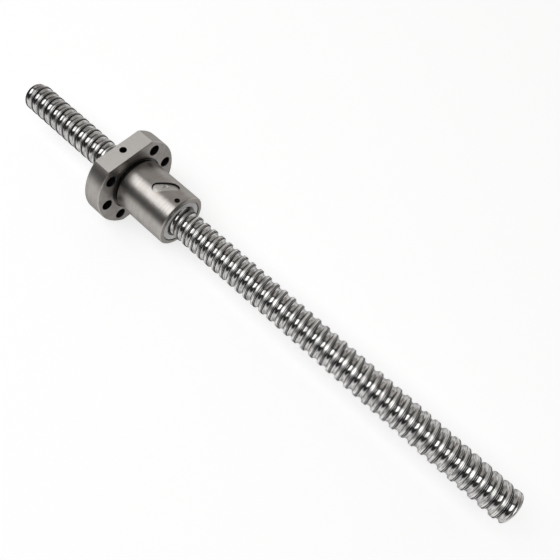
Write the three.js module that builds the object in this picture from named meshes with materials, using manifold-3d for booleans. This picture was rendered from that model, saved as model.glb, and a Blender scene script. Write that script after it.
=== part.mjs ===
// A ball screw assembly: a rolled screw shaft of 16 mm nominal diameter and 5 mm lead, with a single
// flanged ball nut. Each of the nut's three circuits is one turn of balls that a deflector, set in a
// window of the nut, lifts over the screw's crest and hands back to the turn before.
//
// The screw's axis is the X axis, the origin is half way along the shaft, and the flange's two flats
// are level: the upper one, with the oil port, faces +Z. Millimetres. Angles about the axis are in
// degrees from +Z towards -Y, which is right-handed about +X, as the thread is.
import * as THREE from "three";
import { mergeVertices } from "three/addons/utils/BufferGeometryUtils.js";
import Module from "manifold-3d";

const wasm = await Module();
wasm.setup();

// Thread
const LEAD = 5;
const CREST_RADIUS = 7.75;
const BALL_CIRCLE_RADIUS = 8.25;
const BALL_RADIUS = 3.175 / 2;
const GROOVE_RADIUS = 2; // wider than the ball by enough for the flat sides of both grooves
const GROOVE_FLAT_ANGLE = 25; // half of the arc that the flat of the groove's bottom stands for
const GROOVE_PHASE = -3.1; // where the groove passes +Z
const NUT_BORE_RADIUS = 8.05;

// Screw shaft
const SCREW_LENGTH = 300;
const SCREW_CHAMFER = 1;
const SCREW_CHAMFER_LIFT = 0.1; // the chamfer starts this far outside the crest
const SCREW_STEPS = 16; // steps of the helix in one turn

// Nut body
const FLANGE_FRONT_X = -70.4;
const FLANGE_THICKNESS = 10;
const FLANGE_RADIUS = 24;
const FLANGE_CHAMFER = 0.5;
const ACROSS_FLATS = 40;
const BODY_RADIUS = 14;
const BODY_LENGTH = 32;
const BODY_CHAMFER = 0.6;
const RELIEF_RADIUS = 13.2; // the corner between body and flange is relieved for grinding
const RELIEF_OUTER_RADIUS = 14.8;
const RELIEF_DEPTH = 0.8;
const RELIEF_WIDTH = 0.8;
const BOLT_CIRCLE_RADIUS = 19;
const BOLT_HOLE_RADIUS = 2.75;
const BOLT_ANGLES = [-135, -90, -45, 45, 90, 135];
const OIL_PORT_RADIUS = 1.6;
const OIL_PORT_X = FLANGE_FRONT_X - 5.8;
const NUT_STEPS = 16;
const TURNED_STEPS = 40;
const DRILLED_STEPS = 24;

// Ball circuits
const CIRCUITS = 3;
const BALLS_PER_CIRCUIT = 16;
const FIRST_DEFLECTOR_ANGLE = -12;
const FIRST_DEFLECTOR_TURN = -10; // thread turns from the one that passes the origin
const CROSSOVER_HALF_ANGLE = 30;
const CROSSOVER_CLEARANCE = 0.1;

// Deflectors: round-ended inserts, leaning against the thread
const DEFLECTOR_LENGTH = 13;
const DEFLECTOR_WIDTH = 5;
const DEFLECTOR_LEAN = 35;
const DEFLECTOR_OUTER_RADIUS = 13.5;
const DEFLECTOR_GAP = 0.2;
const DEFLECTOR_END_STEPS = 5;
const CHANNEL_RADIUS = 1.79;
const CHANNEL_STEPS = 8;
const CHANNEL_QUARTER_STEPS = 4;

// Wipers: plastic rings in a counterbore at each end of the nut
const WIPER_OUTER_RADIUS = 11.3;
const WIPER_INNER_RADIUS = 8.1;
const WIPER_MOUTH_RADIUS = 8.7;
const WIPER_GAP = 0.3;
const FRONT_WIPER_DEPTH = 4;
const REAR_WIPER_DEPTH = 3;
const WIPER_SCREW_X = FLANGE_FRONT_X + 29.2;
const WIPER_SCREW_ANGLE = -4;
const WIPER_SCREW_HOLE_RADIUS = 1.25;
const WIPER_SCREW_RADIUS = 1.05;
const WIPER_SCREW_LENGTH = 1.5;
const WIPER_SCREW_GAP = 0.1;
const WIPER_SCREW_STEPS = 12;

// Worked out from the above
const SCREW_HALF = SCREW_LENGTH / 2;
const FLANGE_REAR_X = FLANGE_FRONT_X - FLANGE_THICKNESS;
const BODY_FRONT_X = FLANGE_FRONT_X + BODY_LENGTH;
const COUNTERBORE_RADIUS = WIPER_OUTER_RADIUS + WIPER_GAP;
const OVERLAP = 1; // how far a cutter runs past what it cuts
const MERGE_MM = 1e-4;

const STEEL_GROUND = new THREE.Color(0.62, 0.6, 0.57);
const STEEL_BRIGHT = new THREE.Color(0.78, 0.78, 0.79);
const PLASTIC_PALE = new THREE.Color(0.82, 0.82, 0.79);

const radians = THREE.MathUtils.degToRad;

// A closed three.js geometry as a solid, facing outwards whichever way its profile ran.
function solid(geometry) {
  const bare = geometry.clone();
  bare.deleteAttribute("normal");
  bare.deleteAttribute("uv");
  const merged = mergeVertices(bare, MERGE_MM);
  const vertProperties = merged.attributes.position.array;
  const triVerts = new Uint32Array(merged.index.array);
  const made = new wasm.Manifold(new wasm.Mesh({ numProp: 3, vertProperties, triVerts }));
  if (made.volume() > 0) return made;
  const reversed = new wasm.Mesh({ numProp: 3, vertProperties, triVerts: triVerts.reverse() });
  return new wasm.Manifold(reversed);
}

// A solid's surface as a three.js geometry.
function surface(made) {
  const { vertProperties, triVerts } = made.getMesh();
  const geometry = new THREE.BufferGeometry();
  geometry.setAttribute("position", new THREE.BufferAttribute(vertProperties, 3));
  geometry.setIndex(new THREE.BufferAttribute(triVerts, 1));
  geometry.computeVertexNormals();
  return geometry;
}

// A solid of revolution about the X axis. The profile is a list of [x, radius].
function turned(profile, steps = TURNED_STEPS) {
  const points = profile.map(([x, radius]) => new THREE.Vector2(radius, x));
  return new THREE.LatheGeometry(points, steps).rotateZ(-Math.PI / 2);
}

// A drill of one radius that runs out along +Z, turned to an angle about the X axis.
function radialDrill(radius, x, angle, from, to, steps = DRILLED_STEPS) {
  return new THREE.CylinderGeometry(radius, radius, to - from, steps)
    .rotateX(Math.PI / 2)
    .translate(x, 0, (from + to) / 2)
    .rotateX(radians(angle));
}

// Where the middle of the groove is, at an angle about the axis and a whole number of turns along.
function grooveX(angle, turn = 0) {
  return GROOVE_PHASE + LEAD * (angle / 360 + turn);
}

// One lead of a ball groove: four corners, as an offset from the groove's middle and a radius. The
// groove sinks below the land where side is -1, on the screw, and rises above it where side is 1.
function grooveProfile(landRadius, side, growth = 1) {
  const sink = Math.abs(BALL_CIRCLE_RADIUS - landRadius);
  const halfWidth = Math.sqrt(GROOVE_RADIUS ** 2 - sink ** 2);
  const halfFlat = GROOVE_RADIUS * Math.sin(radians(GROOVE_FLAT_ANGLE));
  const depth = GROOVE_RADIUS * Math.cos(radians(GROOVE_FLAT_ANGLE));
  const bottom = (BALL_CIRCLE_RADIUS + side * depth) * growth;
  const land = landRadius * growth;
  return [
    [-halfWidth, land],
    [-halfFlat, bottom],
    [halfFlat, bottom],
    [halfWidth, land],
  ];
}

// A threaded rod about the X axis, from one turn of the thread to another. Each step about the axis
// is a row of corners along the rod, and the last step meets the first one lead further on.
function threadedRod(profile, steps, firstTurn, lastTurn) {
  const perLead = profile.length;
  const rowLength = (lastTurn - firstTurn) * perLead;
  const positions = [];
  const starts = [];
  for (let step = 0; step < steps; step++) {
    starts.push(positions.length / 3);
    const angle = (360 * step) / steps;
    const corners = step === 0 ? rowLength + perLead : rowLength;
    for (let i = 0; i < corners; i++) {
      const [offset, radius] = profile[i % perLead];
      const x = grooveX(angle, firstTurn + Math.floor(i / perLead)) + offset;
      const turn = radians(angle);
      positions.push(x, -radius * Math.sin(turn), radius * Math.cos(turn));
    }
  }
  const corner = (step, i) => (step === steps ? i + perLead : starts[step] + i);
  const tips = [grooveX(0, firstTurn - 1), grooveX(0, lastTurn + 2)].map((x) => {
    positions.push(x, 0, 0);
    return positions.length / 3 - 1;
  });
  const index = [];
  for (let step = 0; step < steps; step++) {
    for (let i = 0; i < rowLength - 1; i++) {
      const [a, b] = [corner(step, i), corner(step, i + 1)];
      const [c, d] = [corner(step + 1, i + 1), corner(step + 1, i)];
      index.push(a, c, b, a, d, c);
    }
    index.push(corner(step, 0), tips[0], corner(step + 1, 0));
    index.push(corner(step, rowLength - 1), corner(step + 1, rowLength - 1), tips[1]);
  }
  for (let i = 0; i < perLead; i++) {
    index.push(corner(0, i), corner(0, i + 1), tips[0]);
    index.push(corner(0, rowLength - 1 + i), tips[1], corner(0, rowLength + i));
  }
  const geometry = new THREE.BufferGeometry();
  geometry.setAttribute("position", new THREE.Float32BufferAttribute(positions, 3));
  geometry.setIndex(index);
  return geometry;
}

// The closed path of the ball centres in one circuit: the loaded turn along the groove, and the
// crossover under the deflector, which goes back one lead and rises just enough to pass the crest.
class CircuitPath extends THREE.Curve {
  constructor(deflectorAngle, middleX, closed = true) {
    super();
    this.deflectorAngle = deflectorAngle;
    this.middleX = middleX;
    this.sweep = closed ? 360 : 2 * CROSSOVER_HALF_ANGLE;
  }

  getPoint(t, target = new THREE.Vector3()) {
    const past = this.sweep * t - CROSSOVER_HALF_ANGLE;
    const slip = LEAD * (past / 360);
    let x = this.middleX - LEAD / 2 + slip;
    let radius = BALL_CIRCLE_RADIUS;
    if (past < CROSSOVER_HALF_ANGLE) {
      const reach = LEAD / 2 - LEAD * (CROSSOVER_HALF_ANGLE / 360);
      x = this.middleX - reach * Math.sin((Math.PI / 2) * (past / CROSSOVER_HALF_ANGLE));
      const offGroove = LEAD / 2 - Math.abs(x - this.middleX - slip);
      const pass = BALL_RADIUS + CROSSOVER_CLEARANCE;
      const halfWidth = Math.sqrt(pass ** 2 - (BALL_CIRCLE_RADIUS - CREST_RADIUS) ** 2);
      const short = Math.max(0, halfWidth - offGroove);
      radius = CREST_RADIUS + Math.sqrt(pass ** 2 - short ** 2);
    }
    const angle = radians(this.deflectorAngle + past);
    return target.set(x, -radius * Math.sin(angle), radius * Math.cos(angle));
  }
}

// The three circuits, each a third of a turn and one lead further from the nut's front.
const circuits = Array.from({ length: CIRCUITS }, (_, i) => {
  const angle = FIRST_DEFLECTOR_ANGLE - (360 / CIRCUITS) * i;
  return { angle, middleX: grooveX(angle, FIRST_DEFLECTOR_TURN - i) + LEAD / 2 };
});

// A round-ended prism that stands out along a radius, as long and wide as given.
function insertPrism({ angle, middleX }, length, width, from, to) {
  const reach = (length - width) / 2;
  const outline = new THREE.Shape();
  outline.absarc(reach, 0, width / 2, -Math.PI / 2, Math.PI / 2);
  outline.absarc(-reach, 0, width / 2, Math.PI / 2, (3 * Math.PI) / 2);
  outline.closePath();
  const settings = { depth: to - from, bevelEnabled: false, curveSegments: DEFLECTOR_END_STEPS };
  return new THREE.ExtrudeGeometry(outline, settings)
    .rotateZ(radians(90 - DEFLECTOR_LEAN))
    .translate(middleX, 0, from)
    .rotateX(radians(angle));
}

function makeScrewShaft() {
  const turns = Math.ceil(SCREW_HALF / LEAD) + 1;
  const rod = threadedRod(grooveProfile(CREST_RADIUS, -1), SCREW_STEPS, -turns, turns);
  const blankRadius = CREST_RADIUS + SCREW_CHAMFER_LIFT;
  const faceRadius = blankRadius - SCREW_CHAMFER;
  const blank = turned([
    [-SCREW_HALF, 0],
    [-SCREW_HALF, faceRadius],
    [-SCREW_HALF + SCREW_CHAMFER, blankRadius],
    [SCREW_HALF - SCREW_CHAMFER, blankRadius],
    [SCREW_HALF, faceRadius],
    [SCREW_HALF, 0],
  ]);
  return surface(solid(rod).intersect(solid(blank)));
}

function makeNutBody() {
  const blank = turned([
    [FLANGE_REAR_X, 0],
    [FLANGE_REAR_X, FLANGE_RADIUS - FLANGE_CHAMFER],
    [FLANGE_REAR_X + FLANGE_CHAMFER, FLANGE_RADIUS],
    [FLANGE_FRONT_X - FLANGE_CHAMFER, FLANGE_RADIUS],
    [FLANGE_FRONT_X, FLANGE_RADIUS - FLANGE_CHAMFER],
    [FLANGE_FRONT_X, RELIEF_OUTER_RADIUS],
    [FLANGE_FRONT_X - RELIEF_DEPTH, RELIEF_OUTER_RADIUS],
    [FLANGE_FRONT_X - RELIEF_DEPTH, RELIEF_RADIUS],
    [FLANGE_FRONT_X + RELIEF_WIDTH, RELIEF_RADIUS],
    [FLANGE_FRONT_X + RELIEF_WIDTH + RELIEF_DEPTH, BODY_RADIUS],
    [BODY_FRONT_X - BODY_CHAMFER, BODY_RADIUS],
    [BODY_FRONT_X, BODY_RADIUS - BODY_CHAMFER],
    [BODY_FRONT_X, 0],
  ]);
  const nutLength = BODY_FRONT_X - FLANGE_REAR_X;
  const flats = new THREE.BoxGeometry(nutLength + 2 * OVERLAP, 3 * FLANGE_RADIUS, ACROSS_FLATS);
  flats.translate((FLANGE_REAR_X + BODY_FRONT_X) / 2, 0, 0);
  let body = solid(blank).intersect(solid(flats));

  // the bore and the ball groove, grown so that the middles of their flat sides keep the true radius
  const growth = 1 / Math.cos(Math.PI / NUT_STEPS);
  const firstTurn = Math.floor(FLANGE_REAR_X / LEAD) - 2;
  const lastTurn = Math.ceil(BODY_FRONT_X / LEAD) + 2;
  const thread = threadedRod(grooveProfile(NUT_BORE_RADIUS, 1, growth), NUT_STEPS, firstTurn, lastTurn);
  const boreInside = NUT_BORE_RADIUS - OVERLAP;
  const bodyOutside = BODY_RADIUS + OVERLAP;
  const cutters = [
    thread,
    counterbore(FLANGE_REAR_X - OVERLAP, FLANGE_REAR_X + REAR_WIPER_DEPTH),
    counterbore(BODY_FRONT_X - FRONT_WIPER_DEPTH, BODY_FRONT_X + OVERLAP),
    radialDrill(OIL_PORT_RADIUS, OIL_PORT_X, 0, boreInside, ACROSS_FLATS / 2 + OVERLAP),
    wiperScrewDrill(WIPER_SCREW_HOLE_RADIUS, WIPER_OUTER_RADIUS, bodyOutside),
  ];
  for (const angle of BOLT_ANGLES) {
    cutters.push(boltDrill(angle));
  }
  for (const circuit of circuits) {
    const length = DEFLECTOR_LENGTH + DEFLECTOR_GAP;
    const width = DEFLECTOR_WIDTH + DEFLECTOR_GAP;
    cutters.push(insertPrism(circuit, length, width, boreInside, bodyOutside));
  }
  for (const cutter of cutters) {
    body = body.subtract(solid(cutter));
  }
  return surface(body);
}

function counterbore(fromX, toX) {
  return turned([
    [fromX, 0],
    [fromX, COUNTERBORE_RADIUS],
    [toX, COUNTERBORE_RADIUS],
    [toX, 0],
  ]);
}

function boltDrill(angle) {
  const length = FLANGE_THICKNESS + 2 * OVERLAP;
  return new THREE.CylinderGeometry(BOLT_HOLE_RADIUS, BOLT_HOLE_RADIUS, length, DRILLED_STEPS)
    .rotateZ(Math.PI / 2)
    .translate(FLANGE_FRONT_X - FLANGE_THICKNESS / 2, 0, BOLT_CIRCLE_RADIUS)
    .rotateX(radians(angle));
}

// An insert that fills its window down to the bore, with the ball channel across its inner face.
function makeDeflector(circuit) {
  const length = DEFLECTOR_LENGTH - DEFLECTOR_GAP;
  const width = DEFLECTOR_WIDTH - DEFLECTOR_GAP;
  const insideRadius = NUT_BORE_RADIUS / Math.cos(Math.PI / NUT_STEPS);
  const ring = turned([
    [circuit.middleX - DEFLECTOR_LENGTH, insideRadius],
    [circuit.middleX - DEFLECTOR_LENGTH, DEFLECTOR_OUTER_RADIUS],
    [circuit.middleX + DEFLECTOR_LENGTH, DEFLECTOR_OUTER_RADIUS],
    [circuit.middleX + DEFLECTOR_LENGTH, insideRadius],
    [circuit.middleX - DEFLECTOR_LENGTH, insideRadius],
  ]);
  const section = new THREE.Shape().absarc(0, 0, CHANNEL_RADIUS, 0, 2 * Math.PI);
  const channel = new THREE.ExtrudeGeometry(section, {
    extrudePath: new CircuitPath(circuit.angle, circuit.middleX, false),
    steps: CHANNEL_STEPS,
    curveSegments: CHANNEL_QUARTER_STEPS,
    bevelEnabled: false,
  });
  const ends = [0, 1].map((t) => {
    const place = new CircuitPath(circuit.angle, circuit.middleX, false).getPoint(t);
    return new THREE.IcosahedronGeometry(CHANNEL_RADIUS, 1).translate(...place.toArray());
  });
  const blank = insertPrism(circuit, length, width, NUT_BORE_RADIUS - OVERLAP, BODY_RADIUS + OVERLAP);
  let insert = solid(blank).intersect(solid(ring));
  for (const cutter of [channel, ...ends]) {
    insert = insert.subtract(solid(cutter));
  }
  return surface(insert);
}

// A wiper ring. Its mouth, on the side that faces out of the nut, opens in a cone.
function makeWiper(innerX, outerX) {
  const coneX = innerX + (outerX - innerX) / 2;
  const ring = turned([
    [innerX, WIPER_INNER_RADIUS],
    [innerX, WIPER_OUTER_RADIUS],
    [outerX, WIPER_OUTER_RADIUS],
    [outerX, WIPER_MOUTH_RADIUS],
    [coneX, WIPER_INNER_RADIUS],
    [innerX, WIPER_INNER_RADIUS],
  ]);
  return surface(solid(ring));
}

function wiperScrewDrill(radius, from, to, steps = DRILLED_STEPS) {
  return radialDrill(radius, WIPER_SCREW_X, WIPER_SCREW_ANGLE, from, to, steps);
}

function makeWiperScrew() {
  const from = COUNTERBORE_RADIUS + WIPER_SCREW_GAP;
  return wiperScrewDrill(WIPER_SCREW_RADIUS, from, from + WIPER_SCREW_LENGTH, WIPER_SCREW_STEPS);
}

function ground() {
  return new THREE.MeshStandardMaterial({ color: STEEL_GROUND, roughness: 0.35, metalness: 1 });
}

function bright() {
  return new THREE.MeshStandardMaterial({ color: STEEL_BRIGHT, roughness: 0.12, metalness: 1 });
}

function plastic() {
  return new THREE.MeshStandardMaterial({ color: PLASTIC_PALE, roughness: 0.5, metalness: 0 });
}

const assembly = new THREE.Group();
const nut = new THREE.Group();
assembly.add(nut);

function addPiece(group, name, geometry, material) {
  const mesh = new THREE.Mesh(geometry, material);
  mesh.name = name;
  group.add(mesh);
  return mesh;
}

addPiece(assembly, "screw_shaft", makeScrewShaft(), bright());
addPiece(nut, "nut_body", makeNutBody(), ground());

const frontWiperX = BODY_FRONT_X - FRONT_WIPER_DEPTH + WIPER_GAP;
addPiece(nut, "front_wiper", makeWiper(frontWiperX, BODY_FRONT_X - WIPER_GAP), plastic());
const rearWiperX = FLANGE_REAR_X + REAR_WIPER_DEPTH - WIPER_GAP;
addPiece(nut, "rear_wiper", makeWiper(rearWiperX, FLANGE_REAR_X + WIPER_GAP), plastic());
addPiece(nut, "wiper_set_screw", makeWiperScrew(), bright());

circuits.forEach((circuit, i) => {
  addPiece(nut, `ball_deflector_${i + 1}`, makeDeflector(circuit), ground());
  const path = new CircuitPath(circuit.angle, circuit.middleX);
  const places = path.getSpacedPoints(BALLS_PER_CIRCUIT).slice(0, BALLS_PER_CIRCUIT);
  places.forEach((place, k) => {
    const number = String(k + 1).padStart(2, "0");
    const ball = new THREE.IcosahedronGeometry(BALL_RADIUS, 1);
    addPiece(nut, `ball_${i + 1}_${number}`, ball, bright()).position.copy(place);
  });
});

export default assembly;
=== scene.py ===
import math

import bmesh
import bpy
import numpy as np
from mathutils import Matrix, Vector


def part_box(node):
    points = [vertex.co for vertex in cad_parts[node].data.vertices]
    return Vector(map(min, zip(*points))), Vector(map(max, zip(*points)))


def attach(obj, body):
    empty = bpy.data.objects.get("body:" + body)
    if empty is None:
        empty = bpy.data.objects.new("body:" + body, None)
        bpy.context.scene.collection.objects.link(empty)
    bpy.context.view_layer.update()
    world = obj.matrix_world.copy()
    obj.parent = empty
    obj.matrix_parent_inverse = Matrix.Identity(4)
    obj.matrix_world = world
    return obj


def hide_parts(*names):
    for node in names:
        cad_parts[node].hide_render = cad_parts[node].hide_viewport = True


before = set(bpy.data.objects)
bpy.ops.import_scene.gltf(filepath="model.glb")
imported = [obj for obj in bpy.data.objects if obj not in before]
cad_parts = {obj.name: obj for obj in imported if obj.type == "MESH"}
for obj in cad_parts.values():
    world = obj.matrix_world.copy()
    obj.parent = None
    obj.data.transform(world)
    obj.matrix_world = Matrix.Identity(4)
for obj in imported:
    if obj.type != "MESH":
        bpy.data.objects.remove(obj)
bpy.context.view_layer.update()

MM = 0.001
METRES_TO_MM = 1000.0

# Thread: a Gothic-arch groove, two arcs that the ball touches at 45 degrees
LEAD = 5 * MM
CREST_RADIUS = 7.75 * MM
BALL_CIRCLE_RADIUS = 8.25 * MM
BALL_RADIUS = 3.175 / 2 * MM
BALL_SUBDIVISIONS = 4
GROOVE_ARC_RADIUS = 1.66 * MM
GROOVE_ARC_SHIFT = (GROOVE_ARC_RADIUS - BALL_RADIUS) * math.sin(math.radians(45))
GROOVE_EDGE_ROUND = 0.2 * MM
SEAM_OFFSET = 0.45 * MM  # from the middle of the crest
SEAM_WIDTH = 0.3 * MM
SEAM_DEPTH = 0.14 * MM
CREST_EDGE_OFFSET = 0.98 * MM  # from the middle of the crest
STREAK_HEIGHT = 0.055 * MM
NUT_BORE_RADIUS = 8.05 * MM
NUT_GROOVE_EDGE_ROUND = 0.1 * MM
ARC_STEPS = 7
CORNER_STEPS = 4
HELIX_STEPS = 96
SPARE_LEADS = 4  # of thread past the two ends together, before they are cut

# Screw shaft ends
SCREW_CHAMFER = 0.9 * MM
SCREW_END_RADIUS = 7.85 * MM

# Nut body
FLANGE_THICKNESS = 10 * MM
FLANGE_RADIUS = 24 * MM
FLANGE_CHAMFER = 0.5 * MM
FLAT_CHAMFER = 0.25 * MM
HALF_ACROSS_FLATS = 20 * MM
BODY_RADIUS = 14 * MM
BODY_CHAMFER = 0.6 * MM
RELIEF_RADIUS = 13.2 * MM
RELIEF_OUTER_RADIUS = 14.8 * MM
RELIEF_DEPTH = 0.8 * MM
RELIEF_WIDTH = 0.8 * MM
EDGE_BREAK = 0.12 * MM
LATHE_STEPS = 288
BOLT_CIRCLE_RADIUS = 19 * MM
BOLT_HOLE_RADIUS = 2.75 * MM
BOLT_HOLE_CHAMFER = 0.25 * MM
BOLT_DRILL_LENGTH = 6 * MM  # from each side, so that the two meet
BOLT_ANGLES = (-135, -90, -45, 45, 90, 135)
OIL_PORT_SETBACK = 5.8 * MM
OIL_PORT_RADIUS = 1.6 * MM
OIL_PORT_CHAMFER = 0.2 * MM
HOLE_STEPS = 64

# Deflectors, set in leaning windows of the nut
DEFLECTORS = 3
FIRST_DEFLECTOR_ANGLE = -12
DEFLECTOR_LENGTH = 13 * MM
DEFLECTOR_WIDTH = 5 * MM
DEFLECTOR_LEAN = 35
DEFLECTOR_OUTER_RADIUS = 13.1 * MM
DEFLECTOR_GAP = 0.3 * MM
CHANNEL_RADIUS = 1.79 * MM
CROSSOVER_HALF_ANGLE = 30
CROSSOVER_RUN_IN_ANGLE = 9
CROSSOVER_STEP_ANGLE = 3
CROSSOVER_CLEARANCE = 0.1 * MM
DIMPLE_RADIUS = 1.3 * MM
DIMPLE_DEPTH = 0.5 * MM
WINDOW_STEPS = 24

# Wipers and the set screw that holds the front one
WIPER_OUTER_RADIUS = 11.3 * MM
WIPER_INNER_RADIUS = 8.1 * MM
WIPER_MOUTH_RADIUS = 8.7 * MM
WIPER_GAP = 0.3 * MM
WIPER_EDGE_ROUND = 0.2 * MM
FRONT_WIPER_DEPTH = 4 * MM
REAR_WIPER_DEPTH = 3 * MM
SET_SCREW_HOLE_RADIUS = 1.25 * MM
SET_SCREW_RADIUS = 1.05 * MM
SET_SCREW_LENGTH = 1.5 * MM
SET_SCREW_SETBACK = 2.8 * MM
SET_SCREW_ANGLE = -4
SET_SCREW_EDGE_ROUND = 0.15 * MM
SET_SCREW_CLEARANCE = 0.1 * MM
HEX_RADIUS = 0.6 * MM
HEX_DEPTH = 0.8 * MM

OVERLAP = 1 * MM
WELD = 1e-7
SHARP_ANGLE = 32
CORNER_SHARE = 0.45  # of an edge, the most that rounding a corner may use up

# Finishes
EDGE_TINT = 0.45
GRAIN_HEIGHT = 0.01 * MM
FACE_MARGIN = 0.05 * MM
FLAT_MARGIN = 0.02 * MM

# Floor and world
FLOOR_RADIUS = 3
FLOOR_STEPS = 96
WALL_HEIGHT = 0.9
WALL_FADE = 0.6  # of the wall's height
COVE_RADIUS = 0.25
FLOOR_WHITE = 0.45
FLOOR_GLOW = 0.68
WORLD_GREY = 0.03

# Lights: the sizes are width and depth, and the directions are azimuth and elevation in degrees
OVERHEAD_POWER = 10.4
OVERHEAD_SIZE = (1.9, 0.8)
OVERHEAD_DIRECTION = (0, 72)
OVERHEAD_DISTANCE = 1.07
OVERHEAD_X = -0.35
SIDE_POWER = 5.0
SIDE_SIZE = (2.2, 1.6)
SIDE_DIRECTION = (180, 40)
SIDE_DISTANCE = 1.2
SIDE_X = -0.2
SIDE_WARMTH = 0.04

# Camera
CAMERA_AIM = Vector((9.6, 3.2, 0)) * MM
CAMERA_DISTANCE = 241 * MM
CAMERA_DIRECTION = (33.4, 63.8)
CAMERA_ROLL = 10.3
CAMERA_LENS = 33.2
CAMERA_SENSOR = 36
CAMERA_SHIFT = 0.039
CAMERA_REACH = (0.01, 20)

screw_low, screw_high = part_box("screw_shaft")
nut_low, nut_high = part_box("nut_body")
REAR_X = nut_low.x
NOSE_X = nut_high.x
FLANGE_FRONT_X = REAR_X + FLANGE_THICKNESS
COUNTERBORE_RADIUS = WIPER_OUTER_RADIUS + WIPER_GAP


def middle_of(node):
    low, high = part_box(node)
    return (low + high) / 2


def about_axis(x, radius, angle):
    """The point at a radius and an angle in degrees about the X axis."""
    turn = math.radians(angle)
    return Vector((x, -radius * math.sin(turn), radius * math.cos(turn)))


# A deflector's middle is over the crest, so the first one says where the groove runs: this is the
# x at which the groove's middle crosses the angle zero.
groove_x_at_zero = middle_of("ball_deflector_1").x - LEAD / 2 - LEAD * FIRST_DEFLECTOR_ANGLE / 360


def add_mesh(name, build):
    """A closed mesh object from a bmesh that build has made."""
    bmesh.ops.remove_doubles(build, verts=build.verts, dist=WELD)
    bmesh.ops.recalc_face_normals(build, faces=build.faces)
    mesh = bpy.data.meshes.new(name)
    build.to_mesh(mesh)
    build.free()
    made = bpy.data.objects.new(name, mesh)
    bpy.context.scene.collection.objects.link(made)
    return made


def sheet_of_quads(build, rows, close_rows, close_columns):
    """Quads between the points of equally long rows."""
    verts = [[build.verts.new(point) for point in row] for row in rows]
    row_pairs = len(rows) if close_rows else len(rows) - 1
    columns = len(rows[0]) if close_columns else len(rows[0]) - 1
    for i in range(row_pairs):
        near = verts[i]
        far = verts[(i + 1) % len(verts)]
        for k in range(columns):
            after = (k + 1) % len(near)
            build.faces.new((near[k], near[after], far[after], far[k]))
    return verts


def cap_open_ends(build):
    edges = [edge for edge in build.edges if edge.is_boundary]
    bmesh.ops.holes_fill(build, edges=edges, sides=0)


def rounded_corner(start, corner, end):
    """Points from start to end on the curve that the corner pulls outwards."""
    shares = [i / CORNER_STEPS for i in range(CORNER_STEPS + 1)]
    return [start * (1 - t) ** 2 + corner * 2 * t * (1 - t) + end * t**2 for t in shares]


def softened(profile, radius, closed=False):
    """The profile with its corners rounded off."""
    points = [Vector(point) for point in profile]
    if closed:
        neighbours = list(zip(points[-1:] + points[:-1], points, points[1:] + points[:1]))
    else:
        neighbours = list(zip(points, points[1:], points[2:]))
    corners = []
    for before, corner, after in neighbours:
        back, on = before - corner, after - corner
        reach = min(radius, back.length * CORNER_SHARE, on.length * CORNER_SHARE)
        start = corner + back.normalized() * reach
        end = corner + on.normalized() * reach
        corners.extend(rounded_corner(start, corner, end))
    return corners if closed else [points[0], *corners, points[-1]]


def closed_round(name, rows, close_columns):
    """A mesh through rows that go once round an axis, welded where they meet on it."""
    build = bmesh.new()
    sheet_of_quads(build, rows, close_rows=True, close_columns=close_columns)
    bmesh.ops.remove_doubles(build, verts=build.verts, dist=WELD)
    bmesh.ops.dissolve_degenerate(build, edges=build.edges, dist=WELD)
    return add_mesh(name, build)


def turned(name, profile, closed=False, steps=LATHE_STEPS):
    """A solid of revolution about X. The profile is (x, radius) pairs, which start and end on the
    axis unless it is closed."""
    angles = [360 * i / steps for i in range(steps)]
    rows = [[about_axis(x, radius, angle) for x, radius in profile] for angle in angles]
    return closed_round(name, rows, closed)


def prism(name, outline, low, high, place):
    """An outline in XY, stood up in Z from low to high, and then put in its place."""
    build = bmesh.new()
    rows = [[place @ Vector((x, y, height)) for x, y in outline] for height in (low, high)]
    sheet_of_quads(build, rows, close_rows=False, close_columns=True)
    cap_open_ends(build)
    return add_mesh(name, build)


def threaded_rod(name, profile, low_x, high_x):
    """A rod about X with a right-hand thread, which reaches past low_x and high_x. The profile is
    one lead, as (offset from the groove, radius) pairs."""
    build = bmesh.new()
    turns = math.ceil((high_x - low_x) / LEAD) + SPARE_LEADS
    leads_before = math.floor((low_x - groove_x_at_zero) / LEAD) - 1
    first_x = groove_x_at_zero + LEAD * leads_before
    rows = []
    for step in range(HELIX_STEPS):
        share = step / HELIX_STEPS
        row = []
        for turn in range(turns):
            x = first_x + LEAD * (share + turn)
            row.extend(about_axis(x + offset, radius, 360 * share) for offset, radius in profile)
        rows.append(row)
    verts = sheet_of_quads(build, rows, close_rows=False, close_columns=False)
    last, first = verts[-1], verts[0][len(profile):]
    for k in range(len(first) - 1):
        build.faces.new((last[k], last[k + 1], first[k + 1], first[k]))
    cap_open_ends(build)
    return add_mesh(name, build)


def groove_profile(land_radius, side, edge_round):
    """One lead of ball groove. The groove is below the land on the screw, side -1, and above it in
    the nut, side 1."""
    centre = BALL_CIRCLE_RADIUS - side * GROOVE_ARC_SHIFT

    def half_width(radius):
        return math.sqrt(GROOVE_ARC_RADIUS**2 - (radius - centre) ** 2) - GROOVE_ARC_SHIFT

    corner = Vector((-half_width(land_radius), land_radius))
    start = corner - Vector((edge_round, 0))
    sunk = land_radius + side * edge_round
    end = Vector((-half_width(sunk), sunk))
    left = [Vector((-LEAD / 2, land_radius)), *rounded_corner(start, corner, end)]
    first = math.asin((end.x - GROOVE_ARC_SHIFT) / GROOVE_ARC_RADIUS)
    last = math.asin(-GROOVE_ARC_SHIFT / GROOVE_ARC_RADIUS)
    for i in range(1, ARC_STEPS + 1):
        angle = first + (last - first) * i / ARC_STEPS
        x = GROOVE_ARC_SHIFT + GROOVE_ARC_RADIUS * math.sin(angle)
        left.append(Vector((x, centre + side * GROOVE_ARC_RADIUS * math.cos(angle))))
    right = [Vector((-point.x, point.y)) for point in reversed(left[1:-1])]
    return left + right


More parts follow.
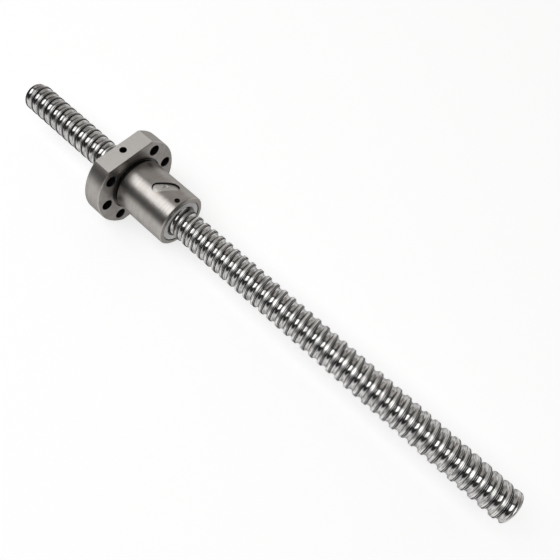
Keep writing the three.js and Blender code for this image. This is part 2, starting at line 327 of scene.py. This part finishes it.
def carve(target, cutters, operation="DIFFERENCE"):
    """Cuts each cutter out of the target, or keeps only what is in it, and removes the cutter."""
    for cutter in cutters:
        modifier = target.modifiers.new("carve", "BOOLEAN")
        modifier.operation = operation
        modifier.solver = "MANIFOLD"
        modifier.material_mode = "TRANSFER"
        modifier.object = cutter
        bpy.context.view_layer.update()
        shaped = target.evaluated_get(bpy.context.evaluated_depsgraph_get())
        mesh = bpy.data.meshes.new_from_object(shaped)
        if len(mesh.vertices) == len(target.data.vertices):
            raise RuntimeError(f"{cutter.name} did not cut {target.name}")
        target.modifiers.clear()
        target.data = mesh
        bpy.data.objects.remove(cutter)
    return target


def shade(obj):
    """Smooth shading that stays sharp at steep edges."""
    mesh = obj.data
    mesh.polygons.foreach_set("use_smooth", np.ones(len(mesh.polygons), bool))
    mesh.set_sharp_from_angle(angle=math.radians(SHARP_ANGLE))
    return obj


def made_of(obj, material):
    obj.data.materials.clear()
    obj.data.materials.append(material)
    return obj


def stand_in(obj, body, slot, *nodes):
    """What a finished piece rides on, its material slot, which is not used, and the CAD nodes it
    stands for.
    """
    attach(obj, body)
    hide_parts(*nodes)


def drill(name, radius, chamfer, length, place):
    """A drill along Z that reaches a length below z = 0, chamfered there, put in its place."""
    profile = [
        (-length, 0),
        (-length, radius),
        (-chamfer, radius),
        (0, radius + chamfer),
        (OVERLAP, radius + chamfer),
        (OVERLAP, 0),
    ]
    made = turned(name, profile, steps=HOLE_STEPS)
    made.data.transform(place @ Matrix.Rotation(-math.pi / 2, 4, "Y"))
    return made


def facing_out(x, radius, angle):
    """The place of something that stands on the nut's surface and faces outwards."""
    outwards = Matrix.Rotation(math.radians(angle), 4, "X")
    return Matrix.Translation(about_axis(x, radius, angle)) @ outwards


# Screw shaft

def make_screw():
    """The rolled thread, with a V-shaped seam in its crest, between two chamfered ends."""
    profile = groove_profile(CREST_RADIUS, -1, GROOVE_EDGE_ROUND)
    seam = SEAM_OFFSET - LEAD / 2
    profile[1:1] = [
        Vector((seam - SEAM_WIDTH / 2, CREST_RADIUS)),
        Vector((seam, CREST_RADIUS - SEAM_DEPTH)),
        Vector((seam + SEAM_WIDTH / 2, CREST_RADIUS)),
    ]
    rod = threaded_rod("screw", profile, screw_low.x, screw_high.x)
    half_profile = [
        (screw_low.x, 0),
        (screw_low.x, SCREW_END_RADIUS - SCREW_CHAMFER),
        (screw_low.x + SCREW_CHAMFER, SCREW_END_RADIUS),
        (screw_high.x - SCREW_CHAMFER, SCREW_END_RADIUS),
        (screw_high.x, SCREW_END_RADIUS - SCREW_CHAMFER),
        (screw_high.x, 0),
    ]
    blank = turned("screw_blank", softened(half_profile, SCREW_CHAMFER / 2))
    return shade(carve(rod, [blank], "INTERSECT"))


# Nut body

def stadium(length, width):
    """The outline of a round-ended slot along X."""
    reach = (length - width) / 2
    points = []
    for side in (1, -1):
        for i in range(WINDOW_STEPS + 1):
            angle = math.pi * (i / WINDOW_STEPS - 0.5)
            x = side * (reach + width / 2 * math.cos(angle))
            points.append((x, side * width / 2 * math.sin(angle)))
    return points


def deflector_angle(index):
    return FIRST_DEFLECTOR_ANGLE - 360 / DEFLECTORS * index


def deflector_place(index):
    """The place of a deflector on the axis, facing outwards and leaning against the thread."""
    middle_x = middle_of(f"ball_deflector_{index + 1}").x
    outwards = Matrix.Rotation(math.radians(deflector_angle(index)), 4, "X")
    lean = Matrix.Rotation(math.radians(90 - DEFLECTOR_LEAN), 4, "Z")
    return Matrix.Translation((middle_x, 0, 0)) @ outwards @ lean


def nut_blank():
    """The turned nut, before its flats, bore and holes."""
    profile = [
        (REAR_X, 0),
        (REAR_X, FLANGE_RADIUS - FLANGE_CHAMFER),
        (REAR_X + FLANGE_CHAMFER, FLANGE_RADIUS),
        (FLANGE_FRONT_X - FLANGE_CHAMFER, FLANGE_RADIUS),
        (FLANGE_FRONT_X, FLANGE_RADIUS - FLANGE_CHAMFER),
        (FLANGE_FRONT_X, RELIEF_OUTER_RADIUS),
        (FLANGE_FRONT_X - RELIEF_DEPTH, RELIEF_OUTER_RADIUS),
        (FLANGE_FRONT_X - RELIEF_DEPTH, RELIEF_RADIUS),
        (FLANGE_FRONT_X + RELIEF_WIDTH, RELIEF_RADIUS),
        (FLANGE_FRONT_X + RELIEF_WIDTH + RELIEF_DEPTH, BODY_RADIUS),
        (NOSE_X - BODY_CHAMFER, BODY_RADIUS),
        (NOSE_X, BODY_RADIUS - BODY_CHAMFER),
        (NOSE_X, 0),
    ]
    return made_of(turned("ball_nut", softened(profile, EDGE_BREAK)), nut_steel)


def nut_flats():
    """A slab that leaves the flange's two flats, with broken edges, where it meets the nut."""
    level = HALF_ACROSS_FLATS
    upper = [
        (REAR_X, level - FLAT_CHAMFER),
        (REAR_X + FLAT_CHAMFER, level),
        (FLANGE_FRONT_X - FLAT_CHAMFER, level),
        (FLANGE_FRONT_X, level - FLAT_CHAMFER),
        (NOSE_X + OVERLAP, level - FLAT_CHAMFER),
    ]
    lower = [(x, -z) for x, z in reversed(upper)]
    outline = softened(upper + lower, EDGE_BREAK / 2, closed=True)
    upright = Matrix.Rotation(math.pi / 2, 4, "X")
    slab = prism("flats", outline, -2 * FLANGE_RADIUS, 2 * FLANGE_RADIUS, upright)
    return made_of(slab, nut_steel)


def nut_cutters():
    """Everything that is bored, drilled or milled out of the nut."""
    thread_profile = groove_profile(NUT_BORE_RADIUS, 1, NUT_GROOVE_EDGE_ROUND)
    cutters = [threaded_rod("bore", thread_profile, REAR_X, NOSE_X)]
    for low, high in (
        (REAR_X - OVERLAP, REAR_X + REAR_WIPER_DEPTH),
        (NOSE_X - FRONT_WIPER_DEPTH, NOSE_X + OVERLAP),
    ):
        bore = [(low, 0), (low, COUNTERBORE_RADIUS), (high, COUNTERBORE_RADIUS), (high, 0)]
        cutters.append(turned("counterbore", bore))
    for angle in BOLT_ANGLES:
        for face_x, turn in ((FLANGE_FRONT_X, 90), (REAR_X, -90)):
            centre = Matrix.Translation(about_axis(face_x, BOLT_CIRCLE_RADIUS, angle))
            place = centre @ Matrix.Rotation(math.radians(turn), 4, "Y")
            sizes = (BOLT_HOLE_RADIUS, BOLT_HOLE_CHAMFER, BOLT_DRILL_LENGTH)
            cutters.append(drill("bolt_hole", *sizes, place))
    port = Matrix.Translation((FLANGE_FRONT_X - OIL_PORT_SETBACK, 0, HALF_ACROSS_FLATS))
    port_length = HALF_ACROSS_FLATS - NUT_BORE_RADIUS + OVERLAP
    cutters.append(drill("oil_port", OIL_PORT_RADIUS, OIL_PORT_CHAMFER, port_length, port))
    screw_hole = facing_out(NOSE_X - SET_SCREW_SETBACK, BODY_RADIUS, SET_SCREW_ANGLE)
    sizes = (SET_SCREW_HOLE_RADIUS, EDGE_BREAK, BODY_RADIUS - WIPER_OUTER_RADIUS)
    cutters.append(drill("set_screw_hole", *sizes, screw_hole))
    outline = stadium(DEFLECTOR_LENGTH + DEFLECTOR_GAP, DEFLECTOR_WIDTH + DEFLECTOR_GAP)
    low, high = NUT_BORE_RADIUS - OVERLAP, BODY_RADIUS + OVERLAP
    for i in range(DEFLECTORS):
        cutters.append(prism("window", outline, low, high, deflector_place(i)))
    # Every cut face takes the dark bored steel; on the deflector windows' walls that darkness is
    # partly painted shade.
    return [made_of(cutter, bore_steel) for cutter in cutters]


def make_nut_body():
    body = carve(nut_blank(), [nut_flats()], "INTERSECT")
    return shade(carve(body, nut_cutters()))


# Deflectors

def crossover(past, middle_x, angle):
    """A ball's centre on its way back over the crest, at an angle past the deflector's middle."""
    slip = LEAD * past / 360
    side = math.copysign(1, past)
    x = middle_x + slip - side * LEAD / 2
    radius = BALL_CIRCLE_RADIUS
    if abs(past) < CROSSOVER_HALF_ANGLE:
        reach = LEAD / 2 - LEAD * CROSSOVER_HALF_ANGLE / 360
        x = middle_x - reach * math.sin(math.pi / 2 * past / CROSSOVER_HALF_ANGLE)
        off_groove = LEAD / 2 - abs(x - middle_x - slip)
        clear = BALL_RADIUS + CROSSOVER_CLEARANCE
        half_width = math.sqrt(clear**2 - (BALL_CIRCLE_RADIUS - CREST_RADIUS) ** 2)
        short = max(0, half_width - off_groove)
        radius = CREST_RADIUS + math.sqrt(clear**2 - short**2)
    return about_axis(x, radius, angle + past)


def channel(name, middle_x, angle):
    """The tube that the balls run through, under a deflector."""
    reach = CROSSOVER_HALF_ANGLE + CROSSOVER_RUN_IN_ANGLE
    stops = range(-reach, reach + 1, CROSSOVER_STEP_ANGLE)
    points = [crossover(past, middle_x, angle) for past in stops]
    build = bmesh.new()
    rows = []
    for i, point in enumerate(points):
        along = points[min(i + 1, len(points) - 1)] - points[max(i - 1, 0)]
        across = along.cross(Vector((0, point.y, point.z))).normalized()
        up = across.cross(along).normalized()
        turns = [2 * math.pi * k / WINDOW_STEPS for k in range(WINDOW_STEPS)]
        ring = [across * math.cos(turn) + up * math.sin(turn) for turn in turns]
        rows.append([point + CHANNEL_RADIUS * spoke for spoke in ring])
    sheet_of_quads(build, rows, close_rows=False, close_columns=True)
    cap_open_ends(build)
    return add_mesh(name, build)


def make_deflector(index):
    """A round-ended insert, curved outside as the nut is, with its ball channel and a dimple."""
    place = deflector_place(index)
    angle = deflector_angle(index)
    middle_x = place.translation.x
    outline = stadium(DEFLECTOR_LENGTH - DEFLECTOR_GAP, DEFLECTOR_WIDTH - DEFLECTOR_GAP)
    low = NUT_BORE_RADIUS - OVERLAP
    insert = prism(f"deflector_{index + 1}", outline, low, BODY_RADIUS + OVERLAP, place)
    rear, front = middle_x - DEFLECTOR_LENGTH, middle_x + DEFLECTOR_LENGTH
    ring = [
        (rear, NUT_BORE_RADIUS),
        (rear, DEFLECTOR_OUTER_RADIUS),
        (front, DEFLECTOR_OUTER_RADIUS),
        (front, NUT_BORE_RADIUS),
    ]
    carve(insert, [turned("deflector_ring", ring, closed=True)], "INTERSECT")
    dimple_place = facing_out(middle_x, DEFLECTOR_OUTER_RADIUS, angle)
    dimple = drill("dimple", DIMPLE_RADIUS, DIMPLE_DEPTH / 2, DIMPLE_DEPTH, dimple_place)
    carve(insert, [channel("channel", middle_x, angle), dimple])
    return shade(insert)


# Wipers, set screw and balls

def make_wiper(name, inner_x, outer_x):
    """A ring whose mouth, on the side that faces out of the nut, opens in a cone."""
    cone_x = (inner_x + outer_x) / 2
    profile = [
        (inner_x, WIPER_INNER_RADIUS),
        (inner_x, WIPER_OUTER_RADIUS),
        (outer_x, WIPER_OUTER_RADIUS),
        (outer_x, WIPER_MOUTH_RADIUS),
        (cone_x, WIPER_INNER_RADIUS),
    ]
    return shade(turned(name, softened(profile, WIPER_EDGE_ROUND, closed=True), closed=True))


def make_set_screw():
    """A headless screw with a hexagon socket, just outside the wiper."""
    tip_radius = COUNTERBORE_RADIUS + SET_SCREW_CLEARANCE
    place = facing_out(NOSE_X - SET_SCREW_SETBACK, tip_radius, SET_SCREW_ANGLE)
    profile = [
        (0, 0),
        (0, SET_SCREW_RADIUS),
        (SET_SCREW_LENGTH, SET_SCREW_RADIUS),
        (SET_SCREW_LENGTH, 0),
    ]
    made = turned("set_screw", softened(profile, SET_SCREW_EDGE_ROUND), steps=HOLE_STEPS)
    made.data.transform(Matrix.Rotation(-math.pi / 2, 4, "Y"))
    corners = [math.pi / 3 * i for i in range(6)]
    hexagon = [(HEX_RADIUS * math.cos(turn), HEX_RADIUS * math.sin(turn)) for turn in corners]
    low, high = SET_SCREW_LENGTH - HEX_DEPTH, SET_SCREW_LENGTH + OVERLAP
    carve(made, [prism("hex_socket", hexagon, low, high, Matrix.Identity(4))])
    made.data.transform(place)
    return shade(made)


# Materials. Their noises are sized in millimetres on the piece.

class Graph:
    """A material's nodes. Each call adds a node and returns its output."""

    def __init__(self, name):
        self.material = bpy.data.materials.new(name)
        self.material.use_nodes = True
        self.nodes = self.material.node_tree.nodes
        self.links = self.material.node_tree.links
        self.shader = self.nodes["Principled BSDF"]

    def put(self, socket, value):
        if isinstance(value, bpy.types.NodeSocket):
            self.links.new(value, socket)
        else:
            socket.default_value = value

    def add(self, kind, inputs, output=0, **settings):
        node = self.nodes.new(kind)
        for key, value in settings.items():
            setattr(node, key, value)
        for key, value in inputs.items():
            self.put(node.inputs[key], value)
        return node.outputs[output]

    def math(self, operation, *values):
        return self.add("ShaderNodeMath", dict(enumerate(values)), operation=operation)

    def object_mm(self):
        """The point on the piece in millimetres, as x, y and z."""
        place = self.add("ShaderNodeTexCoord", {}, "Object")
        inputs = {0: place, "Scale": METRES_TO_MM}
        scaled = self.add("ShaderNodeVectorMath", inputs, operation="SCALE")
        split = self.nodes.new("ShaderNodeSeparateXYZ")
        self.links.new(scaled, split.inputs[0])
        return split.outputs[0], split.outputs[1], split.outputs[2]

    def vector(self, x, y, z=0.0):
        return self.add("ShaderNodeCombineXYZ", {0: x, 1: y, 2: z})

    def noise(self, vector, scale, detail=4.0, roughness=0.55):
        inputs = {"Vector": vector, "Scale": scale, "Detail": detail, "Roughness": roughness}
        return self.add("ShaderNodeTexNoise", inputs)

    def spread(self, value, low, high, to_low=0.0, to_high=1.0):
        """The value between low and high, as a value between to_low and to_high."""
        return self.add("ShaderNodeMapRange", {0: value, 1: low, 2: high, 3: to_low, 4: to_high})

    def mix(self, share, first, second):
        inputs = {0: share, 6: first, 7: second}
        return self.add("ShaderNodeMix", inputs, 2, data_type="RGBA")

    def bump(self, height, distance, strength=1.0):
        inputs = {"Height": height, "Distance": distance, "Strength": strength}
        return self.add("ShaderNodeBump", inputs)

    def finish(self, **inputs):
        """The material, with its shader's inputs set. The edge tint keeps steel from turning white
        at its outline."""
        self.shader.inputs["Specular Tint"].default_value = grey(EDGE_TINT)
        for key, value in inputs.items():
            self.put(self.shader.inputs[key.replace("_", " ")], value)
        return self.material


def grey(level, warmth=0.0):
    return (level * (1 + warmth), level, level * (1 - warmth), 1.0)


def make_screw_steel():
    """Rolled and polished steel: streaks run along the thread. The crest is painted lighter and
    the groove darker, as painted highlight and painted shade. Each crest has near-black painted
    shade in its seam and along its edge, with a painted highlight on the lip between them. The end
    faces are sawn."""
    g = Graph("rolled_steel")
    x, y, z = g.object_mm()
    angle = g.math("DIVIDE", g.math("ARCTAN2", g.math("MULTIPLY", y, -1.0), z), 2 * math.pi)
    leads = g.math("SUBTRACT", g.math("DIVIDE", x, LEAD / MM), angle)
    lane = g.math("SUBTRACT", leads, (groove_x_at_zero + LEAD / 2) / LEAD)
    turn = g.math("ADD", g.math("FLOOR", lane), angle)
    across = g.math("FRACT", lane)

    def on_thread(across_scale, turn_scale, depth=0.0):
        scaled = g.math("MULTIPLY", across, across_scale), g.math("MULTIPLY", turn, turn_scale)
        return g.vector(*scaled, depth)

    streaks = g.noise(on_thread(12.0, 10.0), 1.0, 3.0)
    dents = g.noise(on_thread(5.0, 36.0, 4.0), 1.0, 3.0)
    lines = g.noise(on_thread(40.0, 9.0), 2.0)
    stains = g.noise(g.vector(x, y, z), 0.35, 5.0, 0.6)
    # Painted shade: near-black lines in the seam and along the crest's edge.
    seams = []
    for offset in (SEAM_OFFSET, CREST_EDGE_OFFSET):
        from_seam = g.math("ABSOLUTE", g.math("SUBTRACT", across, offset / LEAD))
        seams.append(g.spread(from_seam, 0.8 * SEAM_WIDTH / LEAD, 0.5 * SEAM_WIDTH / LEAD))
    seam = g.math("MAXIMUM", *seams)
    from_crest = g.math("PINGPONG", across, 0.5)
    on_crest = g.spread(from_crest, 0.22, 0.16)
    # The crest is painted lighter than the groove: painted highlight on the crest and painted
    # shade in the groove, over the real stains.
    polished = g.mix(g.spread(stains, 0.35, 0.7), grey(0.66, 0.01), grey(0.54, 0.02))
    colour = g.mix(on_crest, polished, grey(0.84, 0.02))
    colour = g.mix(g.spread(streaks, 0.46, 0.6), colour, grey(0.28, 0.02))
    # A painted highlight on the narrow lip between the two dark lines.
    lip_middle = (SEAM_OFFSET + CREST_EDGE_OFFSET) / 2 / LEAD
    from_lip = g.math("ABSOLUTE", g.math("SUBTRACT", across, lip_middle))
    lip = g.spread(from_lip, 0.5 * SEAM_WIDTH / LEAD, 0.3 * SEAM_WIDTH / LEAD)
    colour = g.mix(lip, colour, grey(0.85))
    # The seam and crest-edge lines are painted near black, as painted shade.
    colour = g.mix(seam, colour, grey(0.015))
    rolled = g.math("MULTIPLY_ADD", streaks, 0.6, g.math("MULTIPLY", dents, 0.5))
    half_length = (screw_high.x - screw_low.x) / 2
    on_end = g.math("GREATER_THAN", g.math("ABSOLUTE", x), (half_length - FACE_MARGIN) / MM)
    sawn = g.noise(g.vector(g.math("MULTIPLY", y, 0.25), g.math("MULTIPLY", z, 4.0)), 1.0, 3.0)
    height = g.math("MULTIPLY", rolled, g.math("SUBTRACT", 1.0, on_end))
    height = g.math("MULTIPLY_ADD", sawn, on_end, height)
    sawn_colour = g.mix(g.spread(sawn, 0.35, 0.65), grey(0.5, 0.02), grey(0.3, 0.03))
    colour = g.mix(on_end, colour, sawn_colour)
    worn = g.math("MULTIPLY_ADD", on_crest, 0.2, g.spread(lines, 0.3, 0.7, 0.12, 0.2))
    worn = g.math("MULTIPLY_ADD", on_end, 0.15, worn)
    return g.finish(
        Base_Color=colour,
        Metallic=1.0,
        Roughness=worn,
        Normal=g.bump(height, STREAK_HEIGHT),
    )


def make_nut_steel():
    """Ground steel: fine lines round the axis and straight ones on the flats. The relief is near
    black, partly oily scale and partly painted shade, and the flange's front face is painted
    darker as painted shade.
    """
    g = Graph("ground_steel")
    x, y, z = g.object_mm()
    radius = g.math("SQRT", g.math("ADD", g.math("MULTIPLY", y, y), g.math("MULTIPLY", z, z)))
    angle = g.math("ARCTAN2", y, z)

    def round_lines(density):
        along, out = g.math("MULTIPLY", x, density), g.math("MULTIPLY", radius, density)
        return g.noise(g.vector(along, out, g.math("MULTIPLY", angle, 1.2)), 1.0)

    def masked(value, mask):
        return g.math("MULTIPLY", value, mask)

    brushed = g.noise(g.vector(g.math("MULTIPLY", x, 0.3), g.math("MULTIPLY", y, 5.0)), 1.0)
    coarse_lines = g.math("MULTIPLY", round_lines(2.2), 0.6)
    turned_lines = g.math("MULTIPLY_ADD", round_lines(9.0), 0.4, coarse_lines)
    flat_level = (HALF_ACROSS_FLATS - FLAT_MARGIN) / MM
    on_flat = g.math("GREATER_THAN", g.math("ABSOLUTE", z), flat_level)
    off_flat = g.math("SUBTRACT", 1.0, on_flat)
    lines = g.math("ADD", masked(brushed, on_flat), masked(turned_lines, off_flat))
    # The relief is painted near black: partly its oily scale, partly painted shade in the deep,
    # narrow groove.
    relief_floor = (FLANGE_FRONT_X - RELIEF_DEPTH - FACE_MARGIN) / MM
    past_relief = g.math("GREATER_THAN", x, relief_floor)
    before_body = g.math("LESS_THAN", x, (FLANGE_FRONT_X + RELIEF_WIDTH) / MM)
    inner = g.math("LESS_THAN", radius, (RELIEF_OUTER_RADIUS + FACE_MARGIN) / MM)
    relief_scale_and_shade = masked(masked(past_relief, before_body), inner)
    # The flange's front face is painted darker, as painted shade.
    from_face = g.math("ABSOLUTE", g.math("SUBTRACT", x, FLANGE_FRONT_X / MM))
    on_face = g.math("LESS_THAN", from_face, 2 * FACE_MARGIN / MM)
    blotches = g.noise(g.vector(x, y, z), 0.25, 5.0, 0.6)
    steel = g.mix(g.spread(blotches, 0.35, 0.7), grey(0.47, 0.04), grey(0.38, 0.08))
    steel = g.mix(g.spread(lines, 0.42, 0.75), steel, grey(0.34, 0.05))
    face = g.mix(g.spread(blotches, 0.35, 0.7), grey(0.28, 0.05), grey(0.2, 0.06))
    steel = g.mix(on_face, steel, face)
    on_nose = g.math("GREATER_THAN", x, (NOSE_X - 2 * FACE_MARGIN) / MM)
    steel = g.mix(on_nose, steel, grey(0.28, 0.05))
    flat = g.mix(g.spread(brushed, 0.3, 0.7), grey(0.95, 0.03), grey(0.75, 0.03))
    steel = g.mix(on_flat, steel, flat)
    return g.finish(
        Base_Color=g.mix(relief_scale_and_shade, steel, grey(0.09, 0.05)),
        Metallic=1.0,
        Roughness=g.math("MULTIPLY_ADD", on_flat, 0.12, g.spread(lines, 0.25, 0.75, 0.28, 0.38)),
        Anisotropic=0.15,
        Anisotropic_Rotation=0.25,
        Tangent=g.add("ShaderNodeTangent", {}, direction_type="RADIAL", axis="X"),
        Normal=g.bump(lines, GRAIN_HEIGHT, 0.3),
    )


def make_deflector_steel():
    """Sintered steel, matt and slightly grainy."""
    g = Graph("sintered_steel")
    x, y, z = g.object_mm()
    grain = g.noise(g.vector(x, y, z), 9.0, 4.0, 0.6)
    cloud = g.noise(g.vector(x, y, z), 0.9, 3.0, 0.5)
    return g.finish(
        Base_Color=g.mix(g.spread(cloud, 0.35, 0.65), grey(0.7, 0.03), grey(0.56, 0.04)),
        Metallic=1.0,
        Roughness=g.spread(grain, 0.3, 0.7, 0.38, 0.55),
        Normal=g.bump(grain, GRAIN_HEIGHT, 0.6),
    )


def make_ball_steel():
    """Bearing steel with a thin, uneven film of oil."""
    g = Graph("ball_steel")
    x, y, z = g.object_mm()
    film = g.noise(g.vector(x, y, z), 1.5, 4.0, 0.5)
    return g.finish(
        Base_Color=g.mix(g.spread(film, 0.4, 0.6), grey(0.6), grey(0.52, 0.02)),
        Metallic=1.0,
        Roughness=g.spread(film, 0.3, 0.7, 0.05, 0.12),
    )


def make_set_screw_steel():
    """Blackened steel, worn a little on its high spots."""
    g = Graph("blackened_steel")
    x, y, z = g.object_mm()
    worn = g.noise(g.vector(x, y, z), 3.0, 4.0, 0.6)
    return g.finish(
        Base_Color=g.mix(g.spread(worn, 0.5, 0.75), grey(0.03), grey(0.12, 0.05)),
        Metallic=1.0,
        Roughness=g.spread(worn, 0.3, 0.7, 0.35, 0.55),
    )


def make_wiper_plastic():
    """Pale moulded plastic, faintly mottled and oily."""
    g = Graph("pale_plastic")
    x, y, z = g.object_mm()
    mottle = g.noise(g.vector(x, y, z), 1.2, 4.0, 0.6)
    grain = g.noise(g.vector(x, y, z), 12.0, 3.0, 0.5)
    return g.finish(
        Base_Color=g.mix(g.spread(mottle, 0.35, 0.65), grey(0.62, 0.01), grey(0.52, 0.03)),
        Metallic=0.0,
        Roughness=g.spread(grain, 0.3, 0.7, 0.32, 0.5),
        Normal=g.bump(grain, GRAIN_HEIGHT, 0.4),
    )


def make_bore_steel():
    """Drilled, bored and milled faces, dark with cutting marks, old oil and scale. Round the
    deflector windows the dark walls are also painted shade.
    """
    g = Graph("bored_steel")
    x, y, z = g.object_mm()
    marks = g.noise(g.vector(g.math("MULTIPLY", x, 6.0), y, z), 1.0, 4.0, 0.6)
    return g.finish(
        Base_Color=g.mix(g.spread(marks, 0.35, 0.7), grey(0.035, 0.05), grey(0.09, 0.05)),
        Metallic=1.0,
        Roughness=g.spread(marks, 0.3, 0.7, 0.3, 0.5),
        Normal=g.bump(marks, GRAIN_HEIGHT, 0.4),
    )


screw_steel = make_screw_steel()
nut_steel = make_nut_steel()
bore_steel = make_bore_steel()
deflector_steel = make_deflector_steel()
ball_steel = make_ball_steel()
set_screw_steel = make_set_screw_steel()
wiper_plastic = make_wiper_plastic()

# The pieces

stand_in(made_of(make_screw(), screw_steel), "screw", "screw_steel", "screw_shaft")
stand_in(make_nut_body(), "nut", "nut_steel", "nut_body")
for i in range(DEFLECTORS):
    deflector = made_of(make_deflector(i), deflector_steel)
    stand_in(deflector, "nut", "deflector_steel", f"ball_deflector_{i + 1}")

front_wiper = make_wiper("nose_wiper", NOSE_X - FRONT_WIPER_DEPTH + WIPER_GAP, NOSE_X - WIPER_GAP)
stand_in(made_of(front_wiper, wiper_plastic), "nut", "wiper_plastic", "front_wiper")
rear_wiper = make_wiper("flange_wiper", REAR_X + REAR_WIPER_DEPTH - WIPER_GAP, REAR_X + WIPER_GAP)
stand_in(made_of(rear_wiper, wiper_plastic), "rear_wiper", "wiper_plastic", "rear_wiper")
stand_in(made_of(make_set_screw(), set_screw_steel), "nut", "set_screw_steel", "wiper_set_screw")

ball_build = bmesh.new()
bmesh.ops.create_icosphere(ball_build, subdivisions=BALL_SUBDIVISIONS, radius=BALL_RADIUS)
ball_pattern = made_of(shade(add_mesh("ball_pattern", ball_build)), ball_steel)
ball_nodes = sorted(
    node
    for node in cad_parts
    if node.startswith("ball_") and not node.startswith("ball_deflector")
)
for i, node in enumerate(ball_nodes):
    ball = bpy.data.objects.new(node.replace("ball", "bearing_ball"), ball_pattern.data)
    bpy.context.scene.collection.objects.link(ball)
    ball.location = middle_of(node)
    ball.rotation_euler = (i, 2 * i, 3 * i)  # so that no two show the same film of oil
    stand_in(ball, "nut", "ball_steel", node)
bpy.data.objects.remove(ball_pattern)

# Floor, light and camera

def make_floor():
    """A white floor under the flange's flat, which curves up into a low wall all round. The wall
    fades to the world's grey."""
    profile = softened([(0, 0), (FLOOR_RADIUS, 0), (FLOOR_RADIUS, WALL_HEIGHT)], COVE_RADIUS)
    rows = []
    for i in range(FLOOR_STEPS):
        turn = 2 * math.pi * i / FLOOR_STEPS
        spoke = Vector((math.cos(turn), math.sin(turn), 0))
        rows.append([out * spoke + Vector((0, 0, up)) for out, up in profile])
    floor = closed_round("floor", rows, False)
    floor.location.z = -HALF_ACROSS_FLATS
    g = Graph("floor_white")
    _, _, up = g.object_mm()
    fade = g.spread(up, 0.0, WALL_FADE * WALL_HEIGHT / MM)
    material = g.finish(
        Base_Color=g.mix(fade, grey(FLOOR_WHITE), grey(WORLD_GREY)),
        Roughness=0.9,
        Emission_Color=grey(1.0),
        Emission_Strength=g.math("MULTIPLY_ADD", fade, WORLD_GREY - FLOOR_GLOW, FLOOR_GLOW),
    )
    floor.data.materials.append(material)


def aim_at(holder, aim, direction, distance, roll=0.0):
    """Puts a light or camera at a distance from the point aim, facing it, level unless rolled."""
    azimuth, elevation = (math.radians(degrees) for degrees in direction)
    out = math.cos(elevation)
    away = Vector((math.sin(azimuth) * out, -math.cos(azimuth) * out, math.sin(elevation)))
    holder.location = aim + away * distance
    holder.rotation_mode = "QUATERNION"
    level = (-away).to_track_quat("-Z", "Y").to_matrix()
    rolled = level @ Matrix.Rotation(math.radians(roll), 3, "Z")
    holder.rotation_quaternion = rolled.to_quaternion()


def add_light(name, power, size, aim_x, direction, distance, warmth=0.0):
    """A soft rectangular light that faces a point on the screw's axis."""
    light = bpy.data.lights.new(name, "AREA")
    light.energy = power
    light.color = grey(1.0, warmth)[:3]
    light.shape = "RECTANGLE"
    light.size, light.size_y = size
    holder = bpy.data.objects.new(name, light)
    bpy.context.scene.collection.objects.link(holder)
    aim_at(holder, Vector((aim_x, 0, 0)), direction, distance)


def make_camera():
    camera = bpy.data.cameras.new("camera")
    camera.lens = CAMERA_LENS
    camera.sensor_width = CAMERA_SENSOR
    camera.shift_x = CAMERA_SHIFT
    camera.clip_start, camera.clip_end = CAMERA_REACH
    holder = bpy.data.objects.new("camera", camera)
    bpy.context.scene.collection.objects.link(holder)
    aim_at(holder, CAMERA_AIM, CAMERA_DIRECTION, CAMERA_DISTANCE, CAMERA_ROLL)
    bpy.context.scene.camera = holder


make_floor()
world = bpy.data.worlds.new("studio")
world.use_nodes = True
world.node_tree.nodes["Background"].inputs["Color"].default_value = grey(WORLD_GREY)
bpy.context.scene.world = world
add_light(
    "overhead", OVERHEAD_POWER, OVERHEAD_SIZE, OVERHEAD_X, OVERHEAD_DIRECTION, OVERHEAD_DISTANCE
)
add_light("side", SIDE_POWER, SIDE_SIZE, SIDE_X, SIDE_DIRECTION, SIDE_DISTANCE, SIDE_WARMTH)
make_camera()
bpy.context.scene.view_settings.view_transform = "Standard"
